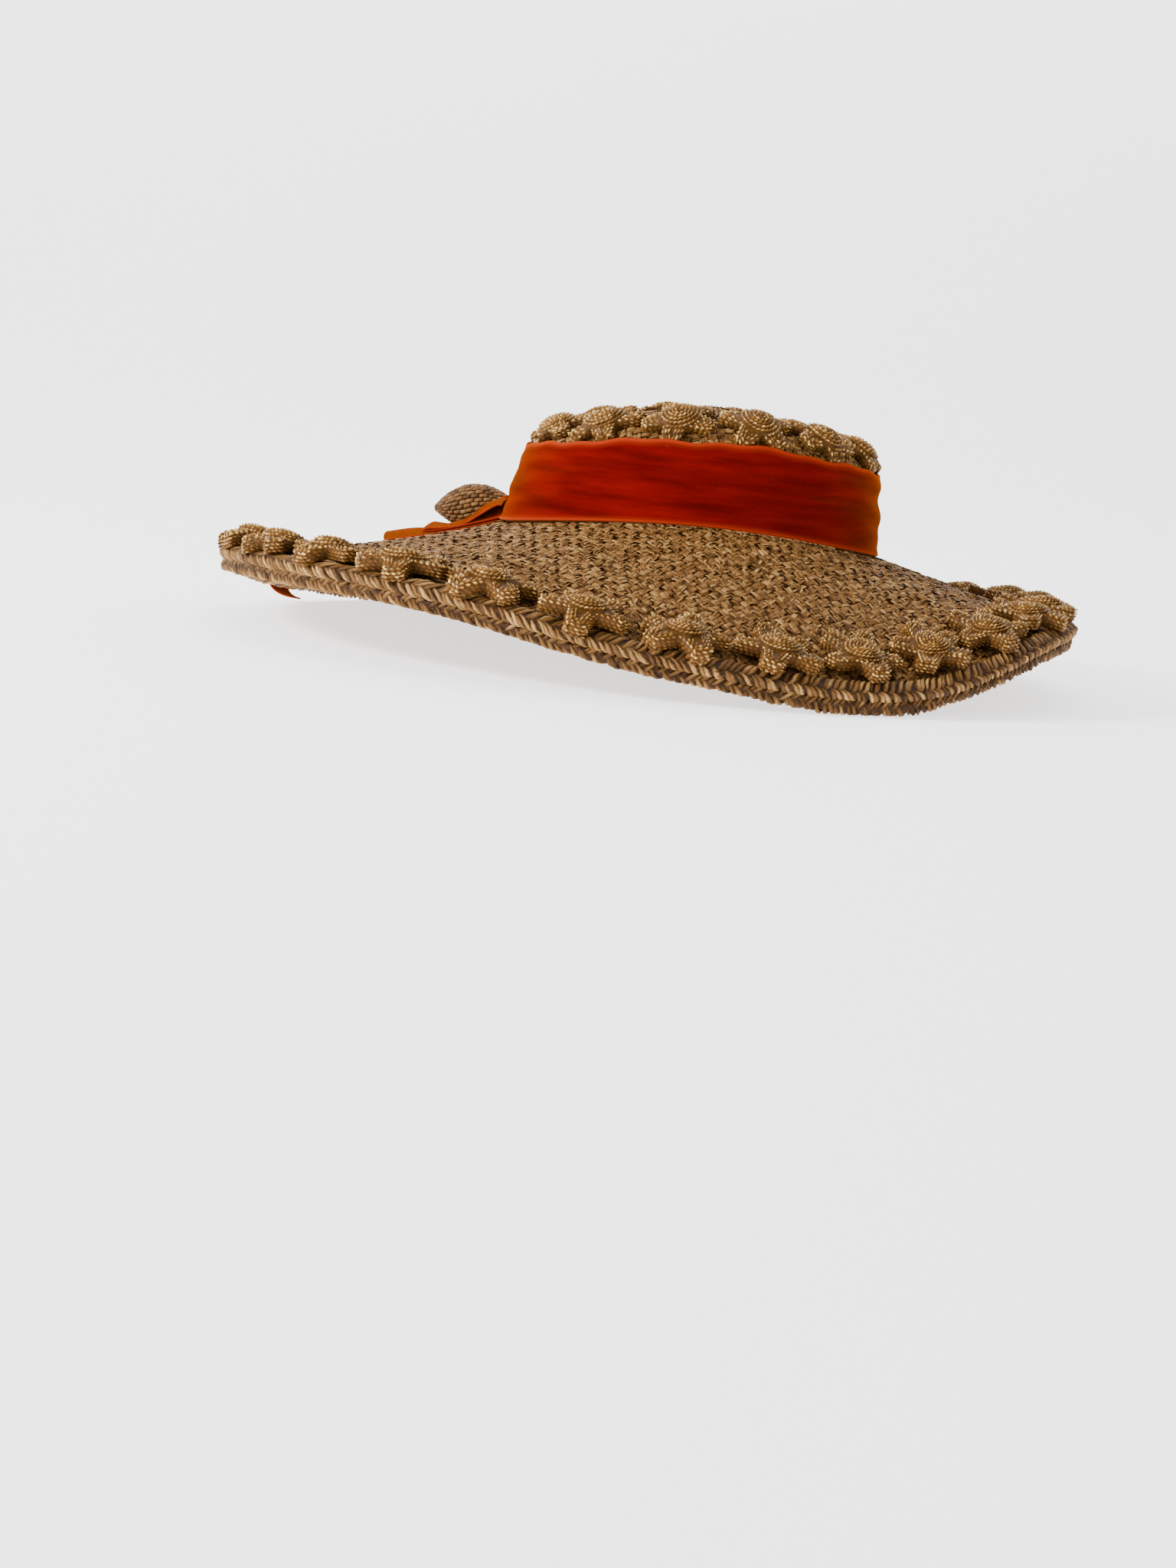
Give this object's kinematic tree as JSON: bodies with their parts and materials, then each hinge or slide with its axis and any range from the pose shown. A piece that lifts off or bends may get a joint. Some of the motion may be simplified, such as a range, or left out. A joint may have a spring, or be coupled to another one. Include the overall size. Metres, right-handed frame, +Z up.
{
  "type": "wide-brimmed straw hat",
  "caption": "Wide-brimmed woven straw hat with a plaited edge, a burnt-orange velvet ribbon with a bow, a plaited pod and rings of straw stars.",
  "frame": {"origin": "on the surface that the hat lies on, under the middle of its brim", "axes": "+Z up out of the crown, -X towards the front, where the ribbon's bow is, and +Y to the side over which the ribbon's tail hangs"},
  "size_m": [0.4662, 0.437, 0.1374],
  "materials": {
    "woven_straw": "matte coarse over-and-under weave",
    "plaited_straw": "matte thick plait",
    "star_braid": "slightly glossy fine coiled braid",
    "velvet_ribbon": "velvet pile",
    "pod_straw": "matte flat plait"
  },
  "bodies": {
    "root": {"crown": "woven_straw", "brim": "woven_straw", "edge_plait_upper": "plaited_straw", "edge_plait_lower": "plaited_straw", "velvet_band": "velvet_ribbon", "bow_loop": "velvet_ribbon", "bow_end": "velvet_ribbon", "ribbon_tail": "velvet_ribbon", "straw_pod": "pod_straw", "brim_star_01": "star_braid", "brim_star_02": "star_braid", "brim_star_03": "star_braid", "brim_star_04": "star_braid", "brim_star_05": "star_braid", "brim_star_06": "star_braid", "brim_star_07": "star_braid", "brim_star_08": "star_braid", "brim_star_09": "star_braid", "brim_star_10": "star_braid", "brim_star_11": "star_braid", "brim_star_12": "star_braid", "brim_star_13": "star_braid", "brim_star_14": "star_braid", "brim_star_15": "star_braid", "brim_star_16": "star_braid", "brim_star_17": "star_braid", "brim_star_18": "star_braid", "brim_star_19": "star_braid", "brim_star_20": "star_braid", "brim_star_21": "star_braid", "brim_star_22": "star_braid", "brim_star_23": "star_braid", "brim_star_24": "star_braid", "brim_star_25": "star_braid", "brim_star_26": "star_braid", "brim_star_27": "star_braid", "crown_star_01": "star_braid", "crown_star_02": "star_braid", "crown_star_03": "star_braid", "crown_star_04": "star_braid", "crown_star_05": "star_braid", "crown_star_06": "star_braid", "crown_star_07": "star_braid", "crown_star_08": "star_braid", "crown_star_09": "star_braid", "crown_star_10": "star_braid", "crown_star_11": "star_braid", "crown_star_12": "star_braid"}
  },
  "joints": []
}
